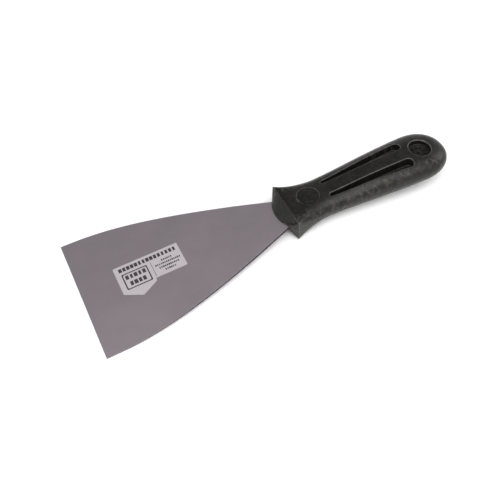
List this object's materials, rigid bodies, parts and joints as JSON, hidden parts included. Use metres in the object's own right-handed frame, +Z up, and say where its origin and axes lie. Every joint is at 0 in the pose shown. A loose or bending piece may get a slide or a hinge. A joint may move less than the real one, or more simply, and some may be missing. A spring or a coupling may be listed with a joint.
{
  "type": "ink knife",
  "caption": "Ink knife with a broad, thin, tapered steel blade, square at the edge, and a moulded plastic grip with cored slots on both faces.",
  "frame": {"origin": "under the middle of the knife's length and width, level with the lowest point of the grip", "axes": "+X from the edge of the blade to the end of the handle, +Y across the blade, +Z up from the middle plane of the blade to its labelled face"},
  "size_m": [0.234, 0.08, 0.017],
  "materials": {
    "blade_steel": "cold-rolled stainless strip, ground to a taper and left satin",
    "handle_plastic": "black polypropylene, moulded with a fine spark texture, slightly mottled",
    "label_foil": "silver self-adhesive foil, satin, with plain dark bars"
  },
  "bodies": {
    "root": {"blade": "blade_steel", "handle": "handle_plastic", "label": "label_foil"}
  },
  "joints": []
}
